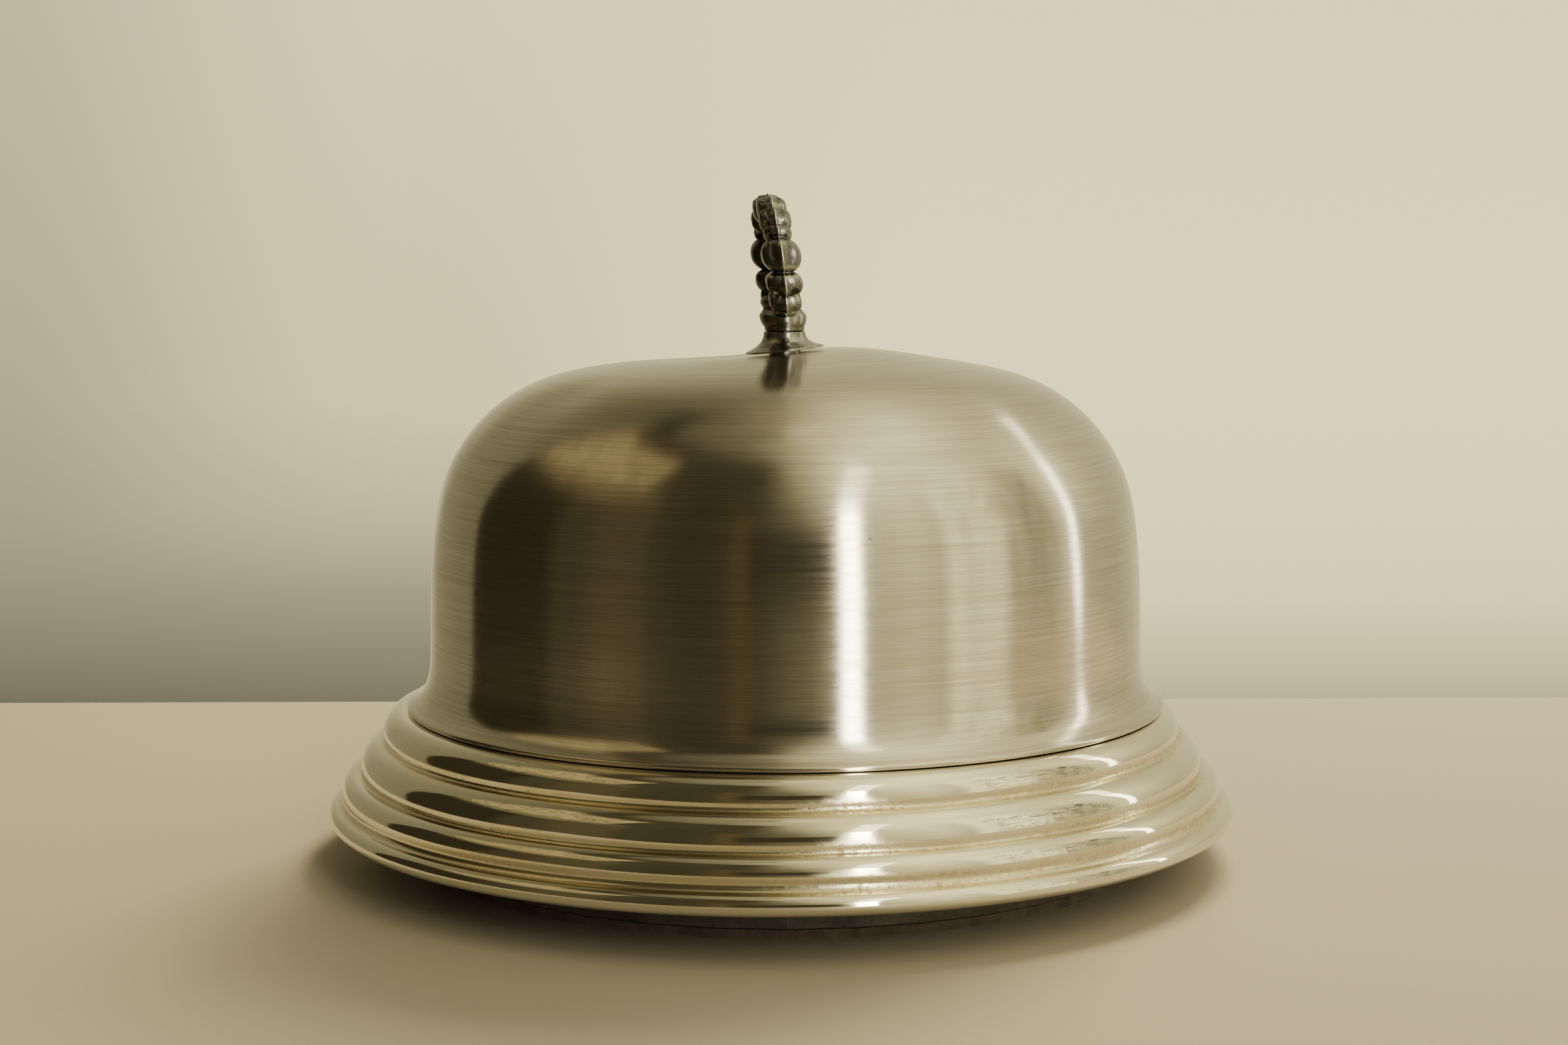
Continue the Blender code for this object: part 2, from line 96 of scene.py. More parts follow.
def shellOutline(outer, wall, edgeSteps=7):
    # closed section of a thin wall, with half-round edges at both ends
    out = lineNormals(outer)
    inner = outer - out * wall
    closed = [outer]
    for end, way in ((-1, 1), (0, -1)):
        middle = (outer[end] + inner[end]) / 2
        spoke = (outer[end] - inner[end]) / 2 * way
        along = np.array([spoke[1], -spoke[0]])
        turn = np.radians(np.linspace(0, 180, edgeSteps + 2)[1:-1])
        rim = middle + np.outer(np.cos(turn), spoke) + np.outer(np.sin(turn), along)
        closed.append(rim)
        if end == -1:
            closed.append(inner[::-1])
    return np.vstack(closed)


def turnTree():
    # sweeps a closed outline round the vertical axis
    tree = bpy.data.node_groups.new("turnedPiece", "GeometryNodeTree")
    face = tree.interface
    face.new_socket("Geometry", in_out="INPUT", socket_type="NodeSocketGeometry")
    face.new_socket("Turn Radius", in_out="INPUT", socket_type="NodeSocketFloat")
    face.new_socket("Segments", in_out="INPUT", socket_type="NodeSocketInt")
    face.new_socket("Finish", in_out="INPUT", socket_type="NodeSocketMaterial")
    face.new_socket("Geometry", in_out="OUTPUT", socket_type="NodeSocketGeometry")
    node = tree.nodes.new
    given, result = node("NodeGroupInput"), node("NodeGroupOutput")
    outline, circle = node("GeometryNodeMeshToCurve"), node("GeometryNodeCurvePrimitiveCircle")
    sweep, smooth = node("GeometryNodeCurveToMesh"), node("GeometryNodeSetShadeSmooth")
    realize, finish = node("GeometryNodeRealizeInstances"), node("GeometryNodeSetMaterial")
    link = tree.links.new
    link(given.outputs["Geometry"], outline.inputs["Mesh"])
    link(given.outputs["Turn Radius"], circle.inputs["Radius"])
    link(given.outputs["Segments"], circle.inputs["Resolution"])
    link(circle.outputs["Curve"], sweep.inputs["Curve"])
    link(outline.outputs["Curve"], sweep.inputs["Profile Curve"])
    link(sweep.outputs["Mesh"], smooth.inputs["Geometry"])
    link(smooth.outputs["Geometry"], realize.inputs["Geometry"])
    link(realize.outputs["Geometry"], finish.inputs["Geometry"])
    link(given.outputs["Finish"], finish.inputs["Material"])
    link(finish.outputs["Geometry"], result.inputs["Geometry"])
    return tree


def setInputs(modifier, values):
    # by the sockets' identifiers
    for item in modifier.node_group.interface.items_tree:
        if item.in_out == "INPUT" and item.name in values:
            modifier[item.identifier] = values[item.name]


def bakeObject(obj, name):
    # the evaluated object as a plain mesh under its final name
    made = bpy.data.meshes.new_from_object(obj.evaluated_get(bpy.context.evaluated_depsgraph_get()))
    old = obj.data
    bpy.data.objects.remove(obj, do_unlink=True)
    if old.users == 0:
        bpy.data.meshes.remove(old)
    made.name = name
    return makeObject(name, made)


def readPlaces(mesh):
    places = np.empty(len(mesh.vertices) * 3)
    mesh.vertices.foreach_get("co", places)
    return places.reshape(-1, 3) / mm


def writePlaces(mesh, places):
    mesh.vertices.foreach_set("co", (places * mm).ravel())
    mesh.update()


def closeSkin(mesh, weld):
    # joins points nearer than weld metres and turns every face outward
    work = bmesh.new()
    work.from_mesh(mesh)
    bmesh.ops.remove_doubles(work, verts=work.verts, dist=weld)
    bmesh.ops.recalc_face_normals(work, faces=work.faces)
    work.to_mesh(mesh)
    work.free()


def nameValues(mesh, marks):
    for key, values in marks.items():
        layer = mesh.attributes.new(key, "FLOAT", "POINT")
        layer.data.foreach_set("value", np.asarray(values, np.float32).ravel())


turnedPieceTree = turnTree()


def turnedPiece(name, outline, finish, centreX, segments, marks=None):
    # outline is a closed list of (radius, height) in millimetres; marks are named values along it
    radius = float(outline[:, 0].mean())
    mesh = bpy.data.meshes.new(name + "Outline")
    count = len(outline)
    mesh.from_pydata([((r - radius) * mm, -z * mm, 0) for r, z in outline],
                     [(i, (i + 1) % count) for i in range(count)], [])
    gaps = np.hypot(*np.diff(outline, axis=0).T)
    nameValues(mesh, dict(marks or {}, run=np.r_[0, np.cumsum(gaps)]))
    obj = makeObject(name + "Turning", mesh)
    modifier = obj.modifiers.new("Turn", "NODES")
    modifier.node_group = turnedPieceTree
    setInputs(modifier, {"Turn Radius": radius * mm, "Segments": segments, "Finish": finish})
    made = bakeObject(obj, name)
    made.data.transform(Matrix.Translation((centreX * mm, 0, 0)))
    closeSkin(made.data, 1e-7)
    made.data.shade_smooth()
    layRoundMap(made.data, centreX)
    return made


def layRoundMap(mesh, centreX):
    # U runs along the outline and V round the axis, so U's direction crosses the turning marks
    layer = mesh.uv_layers.new(name="Turned")
    corners = np.empty(len(mesh.loops), np.int64)
    mesh.loops.foreach_get("vertex_index", corners)
    places = readPlaces(mesh)
    run = np.empty(len(mesh.vertices), np.float32)
    mesh.attributes["run"].data.foreach_get("value", run)
    angle = np.arctan2(places[:, 0] - centreX, -places[:, 1]) / (2 * np.pi) + 0.5
    turn = angle[corners]
    starts = np.empty(len(mesh.polygons), np.int64)
    mesh.polygons.foreach_get("loop_start", starts)
    sizes = np.empty(len(mesh.polygons), np.int64)
    mesh.polygons.foreach_get("loop_total", sizes)
    owner = np.repeat(np.arange(len(starts)), sizes)
    highest = np.maximum.reduceat(turn, starts)
    turn = np.where(highest[owner] - turn > 0.5, turn + 1, turn)
    uv = np.stack([run[corners] / 100, turn], 1).astype(np.float32)
    layer.data.foreach_set("uv", uv.ravel())


# Helpers for finishes.

def newFinish(name, **settings):
    mat = bpy.data.materials.new(name)
    mat.use_nodes = True
    shader = mat.node_tree.nodes["Principled BSDF"]
    for socket, value in settings.items():
        shader.inputs[socket.replace("_", " ")].default_value = value
    return mat, mat.node_tree.nodes, mat.node_tree.links, shader


def objectSpots(nodes):
    return nodes.new("ShaderNodeTexCoord").outputs["Object"]


def addNoise(nodes, links, vector, scale, detail=3.0, roughness=0.5, distortion=0.0):
    noise = nodes.new("ShaderNodeTexNoise")
    noise.inputs["Scale"].default_value = scale
    noise.inputs["Detail"].default_value = detail
    noise.inputs["Roughness"].default_value = roughness
    noise.inputs["Distortion"].default_value = distortion
    links.new(vector, noise.inputs["Vector"])
    return noise.outputs["Fac"]


def addRange(nodes, links, value, low, high, toLow=0.0, toHigh=1.0, smooth=True):
    spread = nodes.new("ShaderNodeMapRange")
    spread.interpolation_type = "SMOOTHSTEP" if smooth else "LINEAR"
    for socket, amount in (("From Min", low), ("From Max", high), ("To Min", toLow), ("To Max", toHigh)):
        spread.inputs[socket].default_value = amount
    links.new(value, spread.inputs["Value"])
    return spread.outputs["Result"]


def addMath(nodes, links, kind, a, b=0.0):
    node = nodes.new("ShaderNodeMath")
    node.operation = kind
    for socket, value in zip(node.inputs, (a, b)):
        if isinstance(value, (int, float)):
            socket.default_value = value
        else:
            links.new(value, socket)
    return node.outputs["Value"]


def addMix(nodes, links, share, a, b):
    node = nodes.new("ShaderNodeMix")
    node.data_type = "RGBA"
    links.new(share, node.inputs["Factor"])
    for name, value in (("A", a), ("B", b)):
        socket = [s for s in node.inputs if s.name == name and s.type == "RGBA"][0]
        if isinstance(value, tuple):
            socket.default_value = (*value, 1)
        else:
            links.new(value, socket)
    return [s for s in node.outputs if s.type == "RGBA"][0]


def addBump(nodes, links, shader, height, strength, distance, after=None):
    bump = nodes.new("ShaderNodeBump")
    bump.inputs["Strength"].default_value = strength
    bump.inputs["Distance"].default_value = distance
    links.new(height, bump.inputs["Height"])
    if after is not None:
        links.new(after, bump.inputs["Normal"])
    links.new(bump.outputs["Normal"], shader.inputs["Normal"])
    return bump.outputs["Normal"]


def namedValue(nodes, name):
    node = nodes.new("ShaderNodeAttribute")
    node.attribute_name = name
    return node.outputs["Fac"]


# The gong: a spun dome of brushed nickel.

gongSettings = {
    "outline": ((2.5, 72.6), (7, 72.6), (12, 72.45), (18, 71.95), (24, 71.3), (30, 70.4), (35, 69.1),
                (39, 67.15), (42.6, 64.5), (45.4, 61.5), (47.5, 58.4), (49.25, 54.6), (50.3, 50.5),
                (51.1, 42.5), (51.28, 35), (51.35, 29), (51.75, 26.0), (52.9, 23.85), (54.62, 22.88)),
    "wall": 0.8,
    "step": 0.55,
    "segments": 300,
    # the bent crown: slope, reach to the side and to the front, how square its end is,
    # and the height where the bend begins with the height over which it grows
    "crownSlope": 0.11,
    "crownReach": (15.3, 22.0),
    "crownPower": 2.2,
    "bendFoot": 20,
    "bendRise": 40,
    # dents: azimuth from the front and height of the middle, width, depth; pressed in level
    # on the flank, and more and more downward above shoulderFoot
    "dents": ((-53, 67.0, 5.5, 0.45), (-66, 63.0, 4.5, -0.18), (-80, 52.0, 4.0, 0.14), (38, 68.0, 8.0, 0.2),
              (74, 46.0, 5.0, 0.1), (150, 60.0, 9.0, 0.3), (-140, 48.0, 6.0, 0.16)),
    "shoulderFoot": 45,
    "shoulderLean": 1.2,
}


nickelSettings = {
    "light": (0.7, 0.665, 0.59),
    "dark": (0.54, 0.505, 0.44),
    "streak": (0.46, 0.41, 0.32),
    "smudge": (0.52, 0.46, 0.36),
    "pit": (0.2, 0.16, 0.1),
    # brush lines: scale across them, scale along them, detail
    "fineLines": (7.0, 60, 3),
    "broadLines": (2.2, 26, 4),
    "smudgeScale": 32,
    "pitScale": 75,
    # size of a pit as a share of its cell, outer and inner, and the share of cells without one
    "pitSize": (0.075, 0.035),
    "pitRarity": (0.72, 0.8),
    "brushing": 0.87,
    "roughness": (0.145, 0.205),
    "fineBump": (0.14, 0.00003),
    "broadBump": (0.03, 0.00004),
}


def brushedNickel(settings):
    mat, nodes, links, shader = newFinish("brushedNickel", Metallic=1.0, Anisotropic=settings["brushing"])
    place = objectSpots(nodes)
    split = nodes.new("ShaderNodeSeparateXYZ")
    links.new(place, split.inputs["Vector"])
    run = namedValue(nodes, "run")

    def brushLines(acrossScale, alongScale, detail):
        join = nodes.new("ShaderNodeCombineXYZ")
        links.new(addMath(nodes, links, "MULTIPLY", split.outputs["X"], alongScale), join.inputs["X"])
        links.new(addMath(nodes, links, "MULTIPLY", split.outputs["Y"], alongScale), join.inputs["Y"])
        links.new(addMath(nodes, links, "MULTIPLY", run, acrossScale), join.inputs["Z"])
        return addNoise(nodes, links, join.outputs["Vector"], 1.0, detail, 0.6)

    fine, broad = brushLines(*settings["fineLines"]), brushLines(*settings["broadLines"])
    cloud = addNoise(nodes, links, place, settings["smudgeScale"], 4, 0.6)
    tone = addRange(nodes, links, fine, 0.3, 0.7)
    base = addMix(nodes, links, tone, settings["dark"], settings["light"])
    streak = addRange(nodes, links, broad, 0.46, 0.7, 0.0, 0.5)
    base = addMix(nodes, links, streak, base, settings["streak"])
    smudge = addRange(nodes, links, cloud, 0.52, 0.72, 0.0, 0.35)
    base = addMix(nodes, links, smudge, base, settings["smudge"])
    cells = nodes.new("ShaderNodeTexVoronoi")
    cells.inputs["Scale"].default_value = settings["pitScale"]
    links.new(place, cells.inputs["Vector"])
    pick = nodes.new("ShaderNodeSeparateColor")
    links.new(cells.outputs["Color"], pick.inputs["Color"])
    ragged = addRange(nodes, links, addNoise(nodes, links, place, 1500, 2), 0.3, 0.7, -0.03, 0.03)
    edge = addMath(nodes, links, "ADD", cells.outputs["Distance"], ragged)
    pit = addMath(nodes, links, "MULTIPLY", addRange(nodes, links, edge, *settings["pitSize"]),
                  addRange(nodes, links, pick.outputs["Red"], *settings["pitRarity"]))
    base = addMix(nodes, links, pit, base, settings["pit"])
    links.new(base, shader.inputs["Base Color"])
    links.new(addRange(nodes, links, broad, 0.3, 0.75, *settings["roughness"]), shader.inputs["Roughness"])
    tangent = nodes.new("ShaderNodeTangent")
    tangent.direction_type = "UV_MAP"
    tangent.uv_map = "Turned"
    links.new(tangent.outputs["Tangent"], shader.inputs["Tangent"])
    soft = addBump(nodes, links, shader, broad, *settings["broadBump"])
    addBump(nodes, links, shader, fine, *settings["fineBump"], soft)
    return mat


def bendAndDent(places, settings):
    x, y, z = places[:, 0] - bellX, places[:, 1], places[:, 2]
    reachX, reachY = settings["crownReach"]
    flankRadius = 30
    share = np.clip((z - settings["bendFoot"]) / settings["bendRise"], 0, 1)
    fade = np.exp(-np.abs(x / reachX) ** settings["crownPower"] - (y / reachY) ** 2)
    places[:, 2] += settings["crownSlope"] * x * fade * share
    for azimuth, height, width, depth in settings["dents"]:
        a = math.radians(azimuth)
        near = int(np.argmin((np.arctan2(x, -y) - a) ** 2 * flankRadius ** 2 + (z - height) ** 2))
        middle = places[near]
        far = np.linalg.norm(places - middle, axis=1) / width
        lean = max(0.0, middle[2] - settings["shoulderFoot"]) * settings["shoulderLean"]
        outward = Vector((middle[0] - bellX, middle[1], lean)).normalized()
        places -= np.outer(depth * np.exp(-far ** 2), np.array(outward))
    return places


def makeGong(settings):
    line = evenSteps(smoothCurve(settings["outline"], 12), settings["step"])
    outline = shellOutline(line, settings["wall"])
    gong = turnedPiece("gongShell", outline, brushedNickel(nickelSettings), bellX, settings["segments"])
    writePlaces(gong.data, bendAndDent(readPlaces(gong.data), settings))
    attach(gong, "base")
    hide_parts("gong")
    print("gong:", len(gong.data.vertices), "points")


makeGong(gongSettings)


# The beaded base ring: polished silver plate, tarnished in its valleys.

ringSettings = {
    # centre radius, height and radius of each bead, first and last angle
    "beads": ((54.5, 19.0, 3.09, 90, -21.5), (57.22, 14.27, 3.6, 87.5, -20.2),
              (61.27, 10.88, 2.25, 107.4, -30), (64.04, 7.5, 1.46, 100, -90)),
    "ledge": (51.2, 22.09),
    "hem": (61.5, 6.04),
    "wall": 0.7,
    "step": 0.32,
    "segments": 320,
    "beadSteps": 40,
    "tarnishReach": 1.5,
}


silverSettings = {
    "clean": (0.84, 0.81, 0.7),
    "dull": (0.77, 0.73, 0.58),
    "haze": (0.76, 0.68, 0.48),
    "spots": (0.5, 0.42, 0.26),
    # sizes of the patterns, larger for finer ones
    "cloudScale": 60,
    "speckleScale": 1300,
    "broadScale": 22,
    "grainScale": 2600,
    "swellScale": 140,
    "roughness": (0.03, 0.06),
    "hazeRoughness": 0.16,
    "spotRoughness": 0.3,
}


def tarnishedSilver(settings):
    mat, nodes, links, shader = newFinish("tarnishedSilver", Metallic=1.0)
    place = objectSpots(nodes)
    valley = namedValue(nodes, "valley")
    cloud = addNoise(nodes, links, place, settings["cloudScale"], 4, 0.65)
    speckle = addNoise(nodes, links, place, settings["speckleScale"], 4, 0.7)
    broad = addNoise(nodes, links, place, settings["broadScale"], 2, 0.5)
    grain = addNoise(nodes, links, place, settings["grainScale"], 2, 0.6)
    reach = addMath(nodes, links, "ADD", valley, addRange(nodes, links, cloud, 0.3, 0.75, -0.35, 0.3))
    spots = addMath(nodes, links, "MULTIPLY", addRange(nodes, links, speckle, 0.4, 0.66),
                    addRange(nodes, links, reach, 0.35, 0.95))
    spots = addMath(nodes, links, "MULTIPLY", spots, addRange(nodes, links, broad, 0.4, 0.62, 0.15, 1.0))
    haze = addRange(nodes, links, reach, 0.0, 0.8, 0.0, 0.8)
    base = addMix(nodes, links, cloud, settings["clean"], settings["dull"])
    base = addMix(nodes, links, haze, base, settings["haze"])
    base = addMix(nodes, links, spots, base, settings["spots"])
    links.new(base, shader.inputs["Base Color"])
    rough = addRange(nodes, links, cloud, 0.3, 0.8, *settings["roughness"])
    for share, amount in ((spots, settings["spotRoughness"]), (haze, settings["hazeRoughness"])):
        rough = addMath(nodes, links, "ADD", rough, addMath(nodes, links, "MULTIPLY", share, amount))
    links.new(rough, shader.inputs["Roughness"])
    swell = addNoise(nodes, links, place, settings["swellScale"], 2, 0.4)
    first = addBump(nodes, links, shader, swell, 0.06, 0.0003)
    second = addBump(nodes, links, shader, grain, 0.03, 0.00002, first)
    addBump(nodes, links, shader, spots, 0.04, 0.00002, second)
    return mat


def makeRing(settings):
    line = [np.array([settings["ledge"]])]
    valleys = []
    for bead in settings["beads"]:
        line.append(arcPoints(*bead, settings["beadSteps"]))
        valleys.append(line[-1][-1])
    line.append(np.array([settings["hem"]]))
    valleys = valleys[:-1]
    outer = evenSteps(np.vstack(line), settings["step"])
    for _ in range(2):  # ease the corners of the valleys as the spinning tool leaves them
        outer[1:-1] = outer[1:-1] * 0.5 + (outer[:-2] + outer[2:]) * 0.25
    outline = shellOutline(outer, settings["wall"])
    closeness = np.zeros(len(outline))
    for radius, height in valleys:
        away = np.hypot(outline[:, 0] - radius, outline[:, 1] - height)
        closeness = np.maximum(closeness, np.exp(-(away / settings["tarnishReach"]) ** 2))
    ring = turnedPiece("beadedRing", outline, tarnishedSilver(silverSettings), 0.0,
                       settings["segments"], {"valley": closeness})
    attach(ring, "base")
    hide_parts("base_ring")
    print("ring:", len(ring.data.vertices), "points")


makeRing(ringSettings)


# The key and its rose: an oxidised casting.

keySettings = {
    "seat": 76.0,
    "lean": 7.0,
    "yaw": 5.0,
    # the loop's middle line from its crest to its foot: reach, height
    "loop": ((0, 93.1), (3.2, 93.0), (6.2, 91.8), (8.4, 89.6), (9.4, 86.6), (9.3, 83.6), (8.0, 81.2),
             (5.6, 79.8), (2.6, 79.3), (0, 79.4)),
    # lobes along half of it: share of the way, half length in mm, half thickness, depth
    "lobes": ((0.0, 1.9, 1.85, 2.2), (0.135, 2.35, 2.15, 2.3), (0.27, 1.5, 2.3, 2.3), (0.357, 1.0, 2.0, 2.05),
              (0.475, 2.35, 2.8, 2.75), (0.61, 1.7, 2.6, 2.45), (0.725, 1.6, 2.3, 2.2),
              (0.84, 1.5, 1.8, 1.8), (0.96, 1.9, 1.9, 1.9)),
    # hollows pressed into the facets: share of the way, half length, depth as a share
    "notches": ((0.14, 0.9, 0.16), (0.275, 0.7, 0.16), (0.47, 1.2, 0.13), (0.645, 0.75, 0.42),
                (0.735, 0.8, 0.12)),
    # how bluntly a lobe swells along the loop, as two powers
    "swell": (2.2, 0.48),
    # section of a lobe: side and outward reach from its widest place to the parting ridge,
    # the ridge's half width, and how far the rounded inner side reaches
    "facets": ((1.0, 0.0), (1.0, 0.4), (0.92, 0.72), (0.7, 0.91), (0.38, 0.96), (0.12, 0.985), (0.0, 1.08)),
    "ridge": 0.12,
    "innerReach": 0.85,
    # the plain stem between lobes: half thickness, and depth as a share of it
    "web": 1.15,
    "webDepth": 1.15,
    # hollows press on the middle of each facet: place across the section, half width
    "facetMiddle": 0.5,
    "facetSpread": 0.28,
    "along": 560,
    "around": 48,
}


castSettings = {
    "light": (0.21, 0.213, 0.215),
    "dark": (0.1, 0.094, 0.086),
    "oxideAndShade": (0.045, 0.037, 0.031),
    # painted highlight on the parting ridge and the lobe rims, and faintly over the collar and rose
    "paintedHighlight": (0.6, 0.585, 0.54),
    "cloudScale": 260,
    "grainScale": 3500,
    # where clean, and where the dark oxide and painted shade lie
    "roughness": (0.22, 0.5),
}


def oxidisedSilver(settings):
    mat, nodes, links, shader = newFinish("oxidisedSilver", Metallic=1.0)
    place = objectSpots(nodes)
    hollow = namedValue(nodes, "hollow")
    cloud = addNoise(nodes, links, place, settings["cloudScale"], 4, 0.6)
    grain = addNoise(nodes, links, place, settings["grainScale"], 3, 0.7)
    # dark oxide in the hollows between lobes, painted shade in the facet middles and on the loop's inner
    # side, and darker on the necks
    oxideAndShade = addMath(nodes, links, "ADD", hollow, addRange(nodes, links, cloud, 0.3, 0.75, -0.3, 0.3))
    oxideAndShade = addRange(nodes, links, oxideAndShade, 0.15, 0.8)
    base = addMix(nodes, links, cloud, settings["light"], settings["dark"])
    # a painted highlight on the ridge and lobe rims, mixed in by the highlight share
    paintedHighlight = addMath(nodes, links, "MULTIPLY", namedValue(nodes, "highlightShare"),
                     addRange(nodes, links, grain, 0.3, 0.6, 0.55, 1.0))
    base = addMix(nodes, links, oxideAndShade, base, settings["oxideAndShade"])
    base = addMix(nodes, links, paintedHighlight, base, settings["paintedHighlight"])
    links.new(base, shader.inputs["Base Color"])
    links.new(addRange(nodes, links, oxideAndShade, 0.0, 1.0, *settings["roughness"]), shader.inputs["Roughness"])
    first = addBump(nodes, links, shader, cloud, 0.1, 0.0003)
    addBump(nodes, links, shader, grain, 0.15, 0.00004, first)
    return mat


def loopFrame(settings):
    # the middle line of the whole loop with its outward directions, in the loop's own plane
    half = smoothCurve(settings["loop"], 24)
    run = np.r_[0, np.cumsum(np.hypot(*np.diff(half, axis=0).T))]
    marks = np.linspace(0, 1, settings["along"] // 2 + 1)
    line = np.stack([np.interp(marks, run / run[-1], half[:, k]) for k in (0, 1)], 1)
    whole = np.vstack([line, line[1:-1][::-1] * (-1, 1)])
    share = np.r_[marks, marks[1:-1][::-1]]
    way = np.roll(whole, -1, 0) - np.roll(whole, 1, 0)
    way /= np.hypot(way[:, 0], way[:, 1])[:, None]
    return whole, np.stack([-way[:, 1], way[:, 0]], 1), share, run[-1]


def lobeSection(settings):
    # one turn of the section: sides, reaches, and how near each point is to the ridge
    half = np.array(settings["facets"])
    quarter = np.linspace(0, 1, settings["around"] // 4 + 1)
    side, reach = (np.interp(quarter, np.linspace(0, 1, len(half)), half[:, k]) for k in (0, 1))
    inner = np.radians(np.linspace(0, 90, settings["around"] // 4 + 1))
    sides = np.r_[side, -side[::-1][1:], -np.cos(inner[1:]), np.cos(inner[::-1][1:-1])]
    depth = -settings["innerReach"] * np.sin(inner)
    reaches = np.r_[reach, reach[::-1][1:], depth[1:], depth[::-1][1:-1]]
    ridge = np.clip(1 - np.abs(sides) / settings["ridge"], 0, 1) * (reaches > 0)
    return sides, reaches, ridge


def loopSurface(settings):
    line, out, share, length = loopFrame(settings)
    thick = np.full(len(line), settings["web"])
    deep = np.full(len(line), settings["web"] * settings["webDepth"])
    swell = np.zeros(len(line))
    alongPower, outPower = settings["swell"]
    for place, half, width, depth in settings["lobes"]:
        bulge = np.clip(1 - np.abs((share - place) * length / half) ** alongPower, 0, 1) ** outPower
        thick = np.maximum(thick, width * bulge)
        deep = np.maximum(deep, depth * bulge)
        swell = np.maximum(swell, bulge)
    hollow = np.clip(1.15 - swell * 1.2, 0, 1)
    sides, reaches, ridge = lobeSection(settings)
    across = (np.abs(sides) - settings["facetMiddle"]) / settings["facetSpread"]
    window = np.exp(-across ** 2) * (reaches > 0)
    points, oxideAndShade, highlightShare = [], [], []
    for i in range(len(line)):
        pressed = sum(depth * math.exp(-((share[i] - place) * length / half) ** 2)
                      for place, half, depth in settings["notches"])
        side, push = sides * thick[i], reaches * deep[i] * (1 - pressed * window)
        points.append(np.stack([side, line[i, 0] + out[i, 0] * push, line[i, 1] + out[i, 1] * push], 1))
        # painted shade in each facet's middle and on the loop's inner side, dark oxide in the hollows between
        # lobes, none on the ridge
        facet = (0.3 + pressed * 1.4) * window
        oxideAndShade.append(np.clip(np.maximum(hollow[i], facet) + 0.45 * (reaches < -0.3) - 0.9 * ridge, 0, 1))
        # a painted highlight on the parting ridge and in a band round each lobe's rim, weaker in the facet
        # middles
        rim = 0.55 * math.exp(-((swell[i] - 0.8) / 0.1) ** 2) * (reaches > 0.2)
        highlightShare.append(np.clip(ridge + rim * (1 - 0.6 * window), 0, 1))
    return np.array(points), {"hollow": np.array(oxideAndShade), "highlightShare": np.array(highlightShare)}


def gridMesh(name, points, marks):
    # closes a grid of points both ways into a ring-shaped skin
    rows, columns = points.shape[:2]
    index = np.arange(rows * columns).reshape(rows, columns)
    a, b = index, np.roll(index, -1, 1)
    c, d = np.roll(b, -1, 0), np.roll(a, -1, 0)
    faces = np.stack([a, b, c, d], -1).reshape(-1, 4)
    mesh = bpy.data.meshes.new(name)
    mesh.from_pydata((points.reshape(-1, 3) * mm).tolist(), [], faces.tolist())
    nameValues(mesh, marks)
    return mesh


collarSettings = {
    "outline": ((1.6, 80.9), (2.3, 80.8), (2.95, 80.3), (3.05, 79.6), (2.6, 79.05), (2.9, 78.7),
                (3.45, 78.0), (3.3, 77.0), (2.85, 76.3), (2.9, 75.76), (1.6, 75.76)),
    "step": 0.16,
    "segments": 96,
    # darker on the neck, inside this radius
    "neck": 3.5,
}
roseSettings = {
    "outline": ((2.52, 75.7), (3.0, 75.7), (3.02, 75.3), (3.15, 74.8), (3.55, 74.2), (4.3, 73.7),
                (5.2, 73.35), (5.68, 73.2), (5.68, 72.98), (5.2, 72.95), (2.52, 72.95)),
    "step": 0.12,
    "segments": 128,
    "neck": 3.6,
    # it is bent with the crown: the height that stays level, and how far below it bends fully
    "levelTop": 75.6,
    "bendDrop": 2.3,
}


def closedLine(points, step):
    line = evenSteps(np.array([*points, points[0]], float), step)[:-1]
    for _ in range(2):
        line = line * 0.5 + (np.roll(line, 1, 0) + np.roll(line, -1, 0)) * 0.25
    return line


def makeCollar(settings, finish):
    outline = closedLine(settings["outline"], settings["step"])
    # darker on the collar's neck
    neckDarkening = np.clip(settings["neck"] - outline[:, 0], 0, 1) * 0.8
    # the collar gets a faint painted highlight, less on its neck
    marks = {"hollow": neckDarkening, "highlightShare": 0.35 - 0.3 * neckDarkening}
    return turnedPiece("collar", outline, finish, 0.0, settings["segments"], marks)


def makeKey(settings, finish):
    mesh = gridMesh("keyLoop", *loopSurface(settings))
    closeSkin(mesh, 0.0)
    collar = makeCollar(collarSettings, finish)
    key = makeObject("castKey", mesh)
    mesh.materials.append(finish)
    bpy.ops.object.select_all(action="DESELECT")
    for obj in (collar, key):
        obj.select_set(True)
    bpy.context.view_layer.objects.active = key
    bpy.ops.object.join()
    key.data.name = "castKey"
    places = readPlaces(key.data)
    turn = math.radians(settings["yaw"])
    x = places[:, 0] * math.cos(turn) - places[:, 1] * math.sin(turn)
    y = places[:, 0] * math.sin(turn) + places[:, 1] * math.cos(turn)
    x -= (places[:, 2] - settings["seat"]) * math.tan(math.radians(settings["lean"]))
    writePlaces(key.data, np.stack([x + bellX, y, places[:, 2]], 1))
    key.data.shade_smooth()
    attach(key, "key")
    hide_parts("key")
    print("key:", len(key.data.vertices), "points")


